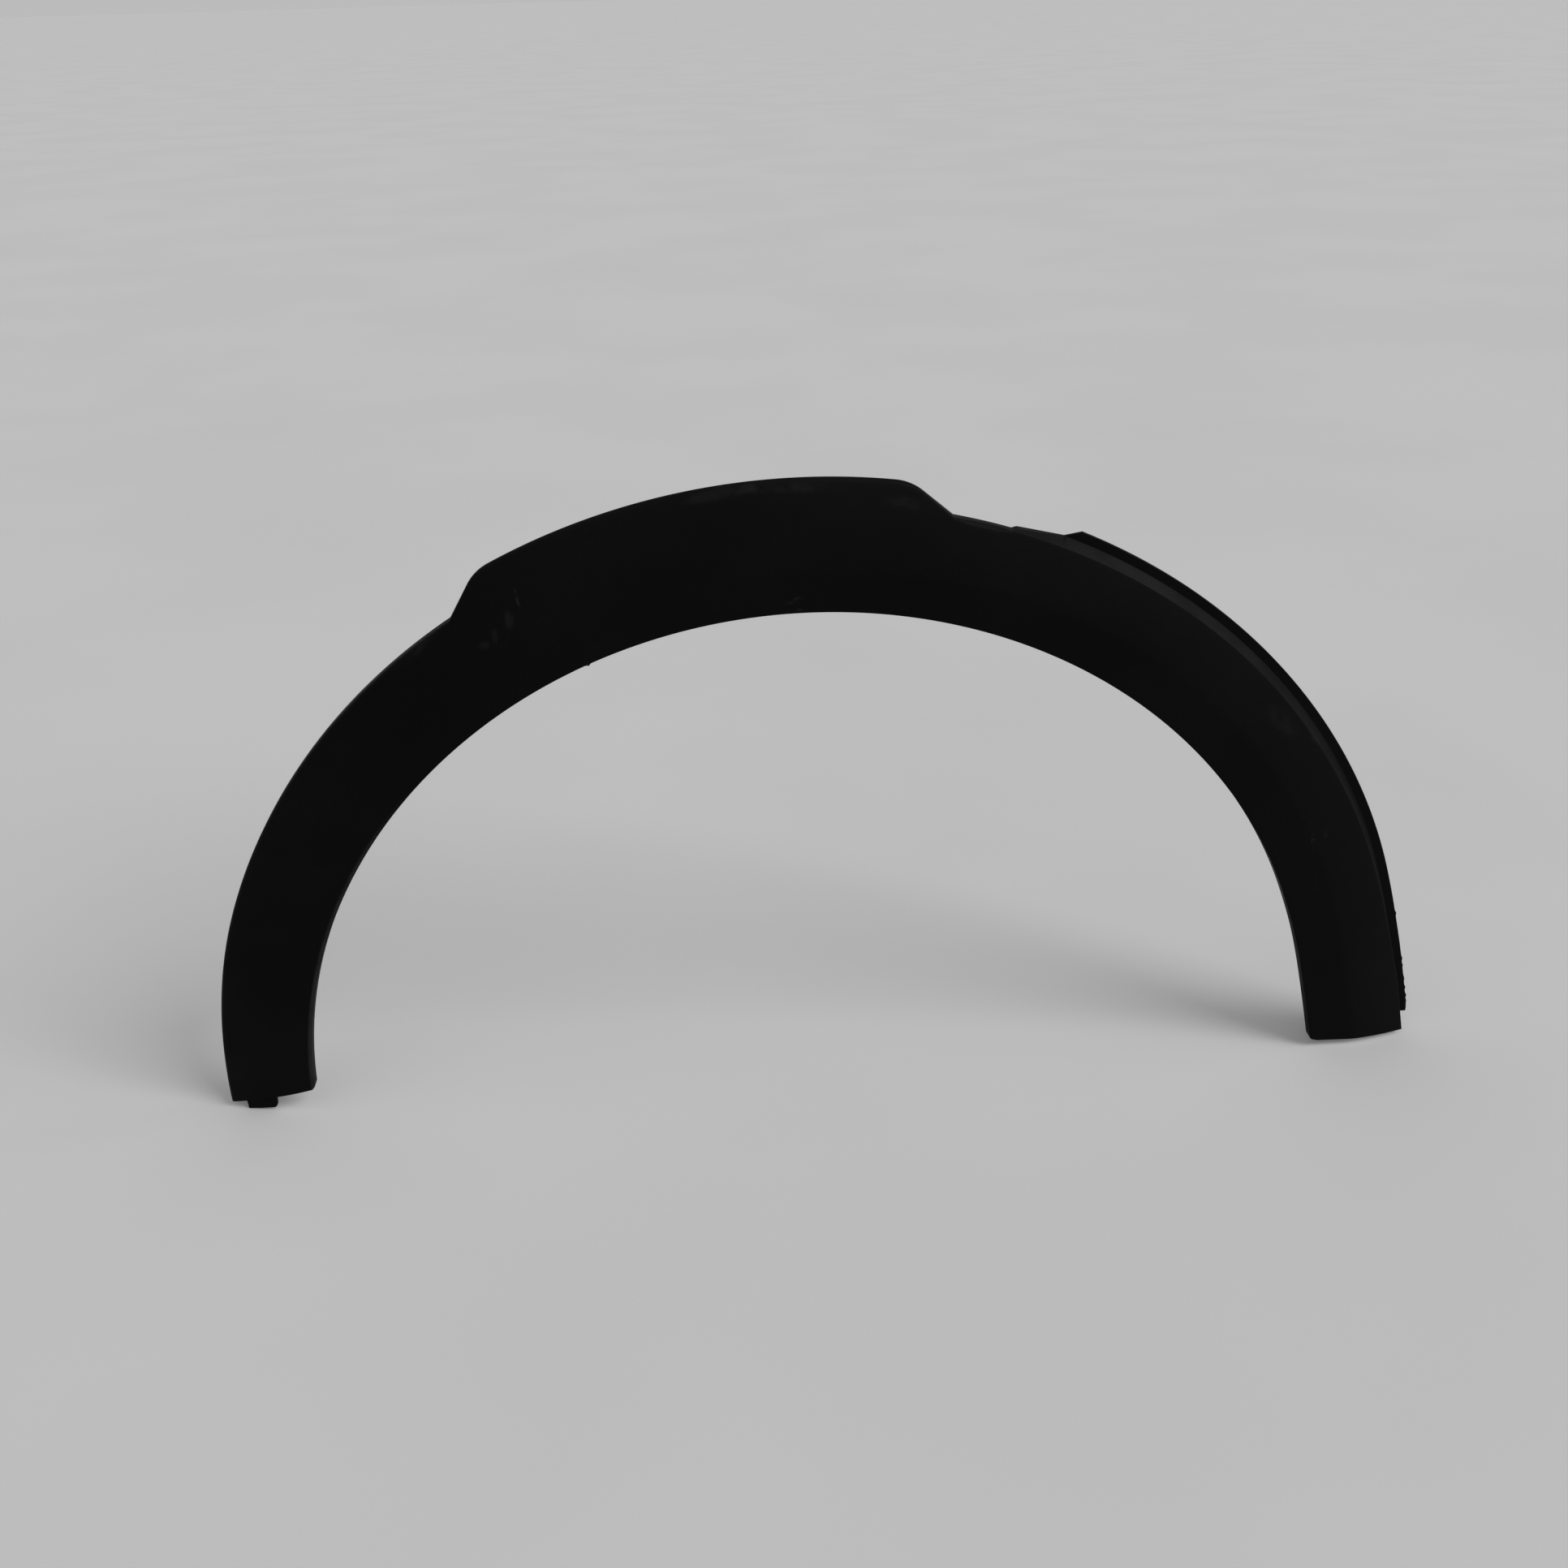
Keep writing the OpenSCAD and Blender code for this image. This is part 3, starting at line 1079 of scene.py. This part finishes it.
    def add_seat(self, mesh: bmesh.types.BMesh, angle: float) -> None:
        """Adds one clip seat: a plate with a hole whose edges are broken.

        Args:
            mesh: The mesh that takes it.
            angle: Angle of the seat round the arch.
        """
        middle = self.form.arch_r + self.tower_in
        low, high = self.seat_h, self.seat_h + self.seat_t
        hole, edge = self.clip_hole_d / 2, self.hole_edge
        loops = [(None, low), (hole + edge, low), (hole, low + edge)]
        loops += [(hole, high - edge), (hole + edge, high), (None, high)]
        rings = []
        for radius, height in loops:
            ring = []
            for x, y in self.seat_sides():
                share = 1.0 if radius is None else radius / math.hypot(x, y)
                at = self.to_frame(angle, middle + x * share, y * share, height)
                ring.append(mesh.verts.new(at))
            rings.append(ring)
        for ring, after in zip(rings, rings[1:] + rings[:1]):
            add_band(mesh, ring, after)

    def tongue_outline(self) -> list[Vector]:
        """Draws the tongue from the front.

        Returns:
            Points (x, z), from its outer root to its inner one.
        """
        x_in = -(self.form.arch_r + self.tongue_in)
        x_out = x_in - self.tongue_w
        centre = Vector(
            (x_in - self.tongue_round, self.tongue_z + self.tongue_round + self.tongue_slant)
        )
        points = [Vector((x_out, self.tongue_root_z))]
        points.append(Vector((x_out + self.tongue_taper_out, self.tongue_z)))
        for i in range(self.tongue_steps + 1):
            points.append(centre + self.tongue_round * direction(270 + 90 * i / self.tongue_steps))
        points.append(Vector((x_in + self.tongue_taper_in, self.tongue_root_z)))
        return points

    def add_tongue(self, mesh: bmesh.types.BMesh) -> None:
        """Adds the tongue, which follows the face one wall behind it.

        Args:
            mesh: The mesh that takes it.
        """
        form = self.form
        sides = []
        for inset in (form.wall - self.sink / 2, form.wall + self.tongue_t):
            side = []
            for at in self.tongue_outline():
                height = form.show_height(at.length, at, inset)
                side.append(Vector((at.x, -height, at.y)) * MM)
            sides.append(side)
        add_plate(mesh, *sides)

    def build(self) -> bmesh.types.BMesh:
        """Builds every rib, every clip tower and the tongue.

        Returns:
            A mesh of closed solids that end inside the shell's wall, in metres.
        """
        mesh = bmesh.new()
        for angle in self.both_legs(list(self.tower_angles)):
            for side in (-1, 1):
                self.add_rib(mesh, angle, side * (self.tower_l - self.rib_t) / 2, True)
            self.add_seat(mesh, angle)
        between = [0.5 * (a + b) for a, b in zip(self.tower_angles, self.tower_angles[1:])]
        for angle in self.both_legs(between):
            self.add_rib(mesh, angle, 0.0, False)
        self.add_tongue(mesh)
        bmesh.ops.recalc_face_normals(mesh, faces=mesh.faces)
        return mesh


class NodeBench:
    """Short ways to lay out the shader nodes of one material."""

    def __init__(self, name: str) -> None:
        """Starts an empty material.

        Args:
            name: Name of the material.
        """
        self.material = bpy.data.materials.new(name)
        self.material.use_nodes = True
        self.tree = self.material.node_tree
        self.tree.nodes.clear()
        self.output = self.tree.nodes.new("ShaderNodeOutputMaterial")

    def node(self, kind: str, **settings: object) -> bpy.types.Node:
        """Adds a node.

        Args:
            kind: Name of the node's type.
            **settings: Values of its own properties.

        Returns:
            The node.
        """
        made = self.tree.nodes.new(kind)
        for key, value in settings.items():
            setattr(made, key, value)
        return made

    def link(self, source: bpy.types.NodeSocket, target: bpy.types.NodeSocket) -> None:
        """Joins an output to an input."""
        self.tree.links.new(source, target)

    def math(
        self, operation: str, a: Socket | float, b: Socket | float = 0.0, clamp: bool = False
    ) -> Socket:
        """Adds a calculation with two values.

        Args:
            operation: Name of the operation.
            a: A number or an output.
            b: A number or an output.
            clamp: Whether the result is kept from 0 to 1.

        Returns:
            The result's output.
        """
        made = self.node("ShaderNodeMath", operation=operation, use_clamp=clamp)
        for socket, value in zip(made.inputs, (a, b)):
            if isinstance(value, (int, float)):
                socket.default_value = value
            else:
                self.link(value, socket)
        return made.outputs[0]

    def noise(self, where: Socket, scale: float, detail: float, rough: float = 0.5) -> Socket:
        """Adds a noise texture.

        Args:
            where: Output with the place.
            scale: Cells per metre.
            detail: Number of finer layers.
            rough: Strength of the finer layers.

        Returns:
            The texture's output.
        """
        made = self.node("ShaderNodeTexNoise")
        made.inputs["Scale"].default_value = scale
        made.inputs["Detail"].default_value = detail
        made.inputs["Roughness"].default_value = rough
        self.link(where, made.inputs["Vector"])
        return made.outputs["Fac"]

    def spread(self, value: Socket, low: float, high: float, to: Span) -> Socket:
        """Maps a range of values to another one.

        Args:
            value: The output to map.
            low: Value that becomes the first of the new range.
            high: Value that becomes the second of the new range.
            to: The new range.

        Returns:
            The mapped output.
        """
        made = self.node("ShaderNodeMapRange", interpolation_type="SMOOTHSTEP")
        made.inputs["From Min"].default_value = low
        made.inputs["From Max"].default_value = high
        made.inputs["To Min"].default_value = to[0]
        made.inputs["To Max"].default_value = to[1]
        self.link(value, made.inputs["Value"])
        return made.outputs["Result"]

    def blend(self, share: Socket, a: Socket | Colour, b: Socket | Colour) -> Socket:
        """Blends two colours.

        Args:
            share: Output that says how much of the second colour there is.
            a: First colour, as three numbers or an output.
            b: Second colour, as three numbers or an output.

        Returns:
            The blended colour's output.
        """
        made = self.node("ShaderNodeMix", data_type="RGBA")
        self.link(share, made.inputs["Factor"])
        sockets = [s for s in made.inputs if s.type == "RGBA"]
        for socket, value in zip(sockets, (a, b)):
            if isinstance(value, tuple):
                socket.default_value = (*value, 1.0)
            else:
                self.link(value, socket)
        return next(s for s in made.outputs if s.type == "RGBA")


class MarkKind(Enum):
    """How a mark on the plastic looks: how strongly it lightens, and how streaky it is."""

    SCUFF = (0.9, 260.0)
    DUST = (0.45, 40.0)
    CHIP = (1.0, 900.0)

    @property
    def strength(self) -> float:
        """Returns how strongly a mark of this kind lightens the plastic."""
        return self.value[0]

    @property
    def grain(self) -> float:
        """Returns the scale of the mark's streaks, in cells per metre."""
        return self.value[1]


@dataclass(frozen=True)
class Mark:
    """One mark on the show side: its kind, middle (x, z), length, width and turn in degrees."""

    kind: MarkKind
    x: float
    z: float
    length: float
    width: float
    turn: float = 0.0
    share: float = 1.0


@dataclass(frozen=True)
class GrainedPlastic:
    """Unpainted black plastic with a fine moulded grain, a thin film of dust, pale scuffs and a
    painted highlight.
    """

    form: ArchForm
    black: Colour = (0.0011, 0.0011, 0.0012)
    worn_black: Colour = (0.0022, 0.0022, 0.0023)
    # Grey of the scuffs and dust, and of the painted highlight along the sill leg's inner edge.
    scuff_and_highlight_grey: Colour = (0.018, 0.018, 0.0185)
    roughness: Span = (0.5, 0.62)
    specular: float = 0.055
    grain_scale: float = 1500.0
    pore_scale: float = 950.0
    grain_bump: float = 0.16
    grain_depth: float = 0.15
    cloud_scale: float = 9.0
    film_scale: float = 420.0
    rough_scale: float = 30.0
    mark_depth: float = 14.0
    mark_rough: float = 0.1
    # Painted highlight: a lighter strip just inside the sill leg's inner edge, standing in for
    # light caught by the edge's round.
    highlight_r: float = 401.3
    highlight_w: Span = (2.4, 0.3)
    highlight_x: Span = (-280.0, -360.0)
    highlight_y: Span = (-16.5, -18.5)
    highlight_scale: float = 60.0
    highlight_share: float = 0.75
    marks: tuple[Mark, ...] = (
        Mark(MarkKind.SCUFF, -199, 418, 10, 1.6, 100, 0.6),
        Mark(MarkKind.DUST, -206, 404, 9, 4.5, 95, 0.7),
        Mark(MarkKind.DUST, -225, 386, 5, 4, 0, 0.7),
        Mark(MarkKind.DUST, -217, 393, 7, 3, 90, 0.4),
        Mark(MarkKind.SCUFF, -7, 410, 11, 2.5, 20, 0.4),
        Mark(MarkKind.CHIP, -3.7, 402.5, 3, 1.6, 0, 0.7),
        Mark(MarkKind.CHIP, -154, 369, 3, 2, 30, 0.7),
        Mark(MarkKind.DUST, 356, 293, 26, 9, -50, 0.4),
        Mark(MarkKind.SCUFF, 384, 277, 12, 4, -50, 0.3),
        Mark(MarkKind.SCUFF, 390, 191, 12, 2.6, 95, 0.35),
        Mark(MarkKind.DUST, 400, 201, 10, 3, 95, 0.5),
        Mark(MarkKind.DUST, 397, 158, 11, 3.5, 95, 0.5),
        Mark(MarkKind.DUST, -15, 487, 60, 6, -3, 0.6),
        Mark(MarkKind.DUST, -59, 483, 40, 5, 8, 0.5),
        Mark(MarkKind.DUST, 74, 472, 22, 7, -12, 0.4),
        Mark(MarkKind.DUST, -272, 386, 40, 6, 44, 0.5),
    )

    def mark_mask(self, bench: NodeBench, where: Socket, mark: Mark) -> Socket:
        """Lays out the nodes of one mark.

        Args:
            bench: The material's bench.
            where: Output with the place on the trim.
            mark: The mark.

        Returns:
            Output that is 0 away from the mark.
        """
        at = Vector((mark.x, mark.z))
        height = self.form.show_height(at.length, at)
        mapping = bench.node("ShaderNodeMapping", vector_type="TEXTURE")
        mapping.inputs["Location"].default_value = (mark.x * MM, -height * MM, mark.z * MM)
        mapping.inputs["Rotation"].default_value = (0.0, -math.radians(mark.turn), 0.0)
        mapping.inputs["Scale"].default_value = (
            mark.length * MM,
            self.mark_depth * MM,
            mark.width * MM,
        )
        bench.link(where, mapping.inputs["Vector"])
        length = bench.node("ShaderNodeVectorMath", operation="LENGTH")
        bench.link(mapping.outputs["Vector"], length.inputs[0])
        inside = bench.spread(length.outputs["Value"], 1.0, 0.25, (0.0, 1.0))
        streaks = bench.noise(where, mark.kind.grain, 3.0, 0.6)
        streaks = bench.spread(streaks, 0.42, 0.66, (0.1, 1.0))
        strength = mark.kind.strength * mark.share
        return bench.math("MULTIPLY", bench.math("MULTIPLY", inside, streaks), strength)

    def painted_highlight_mask(self, bench: NodeBench, where: Socket) -> Socket:
        """Lays out the nodes of the painted highlight, a lighter strip along the inner edge of the
        sill leg.

        Args:
            bench: The material's bench.
            where: Output with the place on the trim.

        Returns:
            Output that is 0 away from the strip.
        """
        parts = bench.node("ShaderNodeSeparateXYZ")
        bench.link(where, parts.inputs[0])
        x, y, z = parts.outputs
        squares = bench.math("ADD", bench.math("MULTIPLY", x, x), bench.math("MULTIPLY", z, z))
        off = bench.math("SUBTRACT", bench.math("SQRT", squares), self.highlight_r * MM)
        off = bench.math("ABSOLUTE", off)
        strip = bench.spread(off, self.highlight_w[0] * MM, self.highlight_w[1] * MM, (0.0, 1.0))
        leg = bench.spread(x, self.highlight_x[0] * MM, self.highlight_x[1] * MM, (0.0, 1.0))
        front = bench.spread(y, self.highlight_y[0] * MM, self.highlight_y[1] * MM, (0.0, self.highlight_share))
        patchy = bench.spread(bench.noise(where, self.highlight_scale, 3.0), 0.3, 0.55, (0.5, 1.0))
        # Painted highlight: the strip is lighter only on the front of the sill leg, and patchy
        # along its length.
        where_highlighted = bench.math("MULTIPLY", strip, leg)
        return bench.math("MULTIPLY", where_highlighted, bench.math("MULTIPLY", front, patchy))

    def marks_and_highlight_mask(self, bench: NodeBench, where: Socket, facing: Socket) -> Socket:
        """Lays out all the marks together with the painted highlight, on the show side alone.

        Args:
            bench: The material's bench.
            where: Output with the place on the trim.
            facing: Output with the surface's direction.

        Returns:
            Output that is 0 away from the marks and the painted highlight, and on the back.
        """
        # Starts from the painted highlight along the sill leg's inner edge, then adds the scuffs,
        # dust and chips.
        total = self.painted_highlight_mask(bench, where)
        for mark in self.marks:
            total = bench.math("ADD", self.mark_mask(bench, where, mark), total, clamp=True)
        parts = bench.node("ShaderNodeSeparateXYZ")
        bench.link(facing, parts.inputs[0])
        shown = bench.spread(parts.outputs["Y"], 0.0, -0.3, (0.0, 1.0))
        return bench.math("MULTIPLY", total, shown)

    def material(self) -> bpy.types.Material:
        """Builds the plastic's material.

        Returns:
            The material.
        """
        bench = NodeBench("grained_plastic")
        place = bench.node("ShaderNodeTexCoord")
        where = place.outputs["Object"]
        cloudy = bench.noise(where, self.cloud_scale, 4.0, 0.55)
        cloudy = bench.spread(cloudy, 0.35, 0.7, (0.0, 1.0))
        dusty = bench.spread(bench.noise(where, self.film_scale, 2.0), 0.4, 0.75, (0.5, 1.0))
        film = bench.math("MULTIPLY", cloudy, dusty)
        plain = bench.blend(film, self.black, self.worn_black)
        # marks holds the scuffs, dust and chips together with the painted highlight along the sill
        # leg's inner edge.
        marks = self.marks_and_highlight_mask(bench, where, place.outputs["Normal"])
        shader = bench.node("ShaderNodeBsdfPrincipled")
        # Lightens the base colour towards grey for the marks and the painted highlight alike.
        bench.link(bench.blend(marks, plain, self.scuff_and_highlight_grey), shader.inputs["Base Color"])
        rough = bench.spread(bench.noise(where, self.rough_scale, 3.0), 0.3, 0.7, self.roughness)
        rough = bench.math("ADD", rough, bench.math("MULTIPLY", marks, self.mark_rough))
        bench.link(rough, shader.inputs["Roughness"])
        shader.inputs["Specular IOR Level"].default_value = self.specular
        pores = bench.node("ShaderNodeTexVoronoi", feature="SMOOTH_F1")
        pores.inputs["Scale"].default_value = self.pore_scale
        bench.link(where, pores.inputs["Vector"])
        grain = bench.noise(where, self.grain_scale, 3.0)
        grain = bench.math("ADD", grain, pores.outputs["Distance"])
        bump = bench.node("ShaderNodeBump")
        bump.inputs["Strength"].default_value = self.grain_bump
        bump.inputs["Distance"].default_value = self.grain_depth * MM
        bench.link(grain, bump.inputs["Height"])
        bench.link(bump.outputs["Normal"], shader.inputs["Normal"])
        bench.link(shader.outputs["BSDF"], bench.output.inputs["Surface"])
        return bench.material


@dataclass(frozen=True)
class PaleFloor:
    """A plain pale floor, matt, with barely visible unevenness."""

    pale: Colour = (0.455, 0.459, 0.455)
    shade: Colour = (0.438, 0.442, 0.438)
    roughness: float = 0.85
    specular: float = 0.1
    uneven_scale: float = 1.6

    def material(self) -> bpy.types.Material:
        """Builds the floor's material.

        Returns:
            The material.
        """
        bench = NodeBench("pale_floor")
        where = bench.node("ShaderNodeTexCoord").outputs["Object"]
        shader = bench.node("ShaderNodeBsdfPrincipled")
        uneven = bench.noise(where, self.uneven_scale, 3.0)
        uneven = bench.spread(uneven, 0.3, 0.7, (0.0, 1.0))
        bench.link(bench.blend(uneven, self.pale, self.shade), shader.inputs["Base Color"])
        shader.inputs["Roughness"].default_value = self.roughness
        shader.inputs["Specular IOR Level"].default_value = self.specular
        bench.link(shader.outputs["BSDF"], bench.output.inputs["Surface"])
        return bench.material


@dataclass
class WheelArchTrim:
    """The whole trim, one moulded piece."""

    form: ArchForm
    sharp_angle: float = 35.0

    def build(self) -> bpy.types.Object:
        """Builds the trim and puts it in the place of its solid.

        Returns:
            The finished piece.
        """
        shell = TrimShell(self.form, BandPath(self.form)).build()
        back = RibbedBack(self.form).build()
        spare = bpy.data.meshes.new("ribbed_back")
        back.to_mesh(spare)
        shell.from_mesh(spare)
        data = bpy.data.meshes.new("trim_shell")
        shell.to_mesh(data)
        shell.free()
        back.free()
        bpy.data.meshes.remove(spare)
        piece = bpy.data.objects.new("trim_shell", data)
        bpy.context.scene.collection.objects.link(piece)
        data.shade_smooth()
        data.set_sharp_from_angle(angle=math.radians(self.sharp_angle))
        piece.data.materials.append(GrainedPlastic(self.form).material())
        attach(piece, BODY)
        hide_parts(NODE)
        LOG.info("%s: %d faces", piece.name, len(data.polygons))
        return piece


@dataclass(frozen=True)
class SoftLight:
    """Soft light from a wide patch of one direction, even over the whole floor."""

    name: str
    comes_from: tuple[float, float, float]
    spread: float
    strength: float

    def build(self) -> None:
        """Adds the light to the scene."""
        data = bpy.data.lights.new(self.name, "SUN")
        data.angle = math.radians(self.spread)
        data.energy = self.strength
        lamp = bpy.data.objects.new(self.name, data)
        lamp.location = self.comes_from
        lamp.rotation_mode = "QUATERNION"
        lamp.rotation_quaternion = (-Vector(self.comes_from)).to_track_quat("-Z", "Y")
        bpy.context.scene.collection.objects.link(lamp)


@dataclass
class Studio:
    """The pale floor, the soft light and the camera. Places and sizes are in metres."""

    camera_place: tuple[float, float, float] = (-0.0737, -1.0509, 0.7898)
    camera_aim: tuple[float, float, float] = (-0.0170, 0.0, 0.2571)
    camera_roll: float = 1.65
    lens: float = 36.0
    floor_size: float = 600.0
    sky: float = 0.5
    lights: tuple[SoftLight, ...] = (
        SoftLight("key_light", (0.62, -0.42, 0.66), 30.0, 2.0),
        SoftLight("side_light", (0.85, -0.15, 0.5), 40.0, 0.9),
        SoftLight("top_light", (-0.35, -0.3, 0.9), 60.0, 0.25),
    )

    def add_floor(self, height: float) -> None:
        """Lays the floor.

        Args:
            height: Height of the floor, at the trim's lowest point.
        """
        mesh = bmesh.new()
        bmesh.ops.create_grid(mesh, x_segments=1, y_segments=1, size=self.floor_size / 2)
        data = bpy.data.meshes.new("floor")
        mesh.to_mesh(data)
        mesh.free()
        floor = bpy.data.objects.new("floor", data)
        floor.location.z = height
        data.materials.append(PaleFloor().material())
        bpy.context.scene.collection.objects.link(floor)
        floor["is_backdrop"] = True

    def add_sky(self) -> None:
        """Sets an even pale light from all round."""
        world = bpy.data.worlds.new("even_light")
        bpy.context.scene.world = world
        world.use_nodes = True
        tree = world.node_tree
        tree.nodes.clear()
        output = tree.nodes.new("ShaderNodeOutputWorld")
        background = tree.nodes.new("ShaderNodeBackground")
        background.inputs["Color"].default_value = (1.0, 1.0, 1.0, 1.0)
        background.inputs["Strength"].default_value = self.sky
        tree.links.new(background.outputs[0], output.inputs["Surface"])

    def add_camera(self) -> None:
        """Sets the camera at the photograph's place and angle."""
        data = bpy.data.cameras.new("camera")
        data.lens = self.lens
        data.sensor_fit = "AUTO"
        data.sensor_width = 36.0
        data.clip_end = 1000.0
        camera = bpy.data.objects.new("camera", data)
        camera.location = self.camera_place
        way = Vector(self.camera_aim) - Vector(self.camera_place)
        facing = way.to_track_quat("-Z", "Y").to_matrix()
        camera.rotation_mode = "QUATERNION"
        roll = Matrix.Rotation(math.radians(-self.camera_roll), 3, "Z")
        camera.rotation_quaternion = (facing @ roll).to_quaternion()
        bpy.context.scene.collection.objects.link(camera)
        bpy.context.scene.camera = camera

    def build(self, floor_height: float) -> None:
        """Sets up the studio.

        Args:
            floor_height: Height of the floor.
        """
        self.add_floor(floor_height)
        self.add_sky()
        for light in self.lights:
            light.build()
        self.add_camera()
        bpy.context.scene.view_settings.view_transform = "Standard"


def main() -> None:
    """Builds the trim and its studio, with the floor at the solid's lowest point."""
    logging.basicConfig(level=logging.INFO, format="%(name)s: %(message)s")
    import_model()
    solid_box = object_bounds()
    WheelArchTrim(ArchForm()).build()
    Studio().build(solid_box[0].z)


if __name__ == "__main__":
    main()
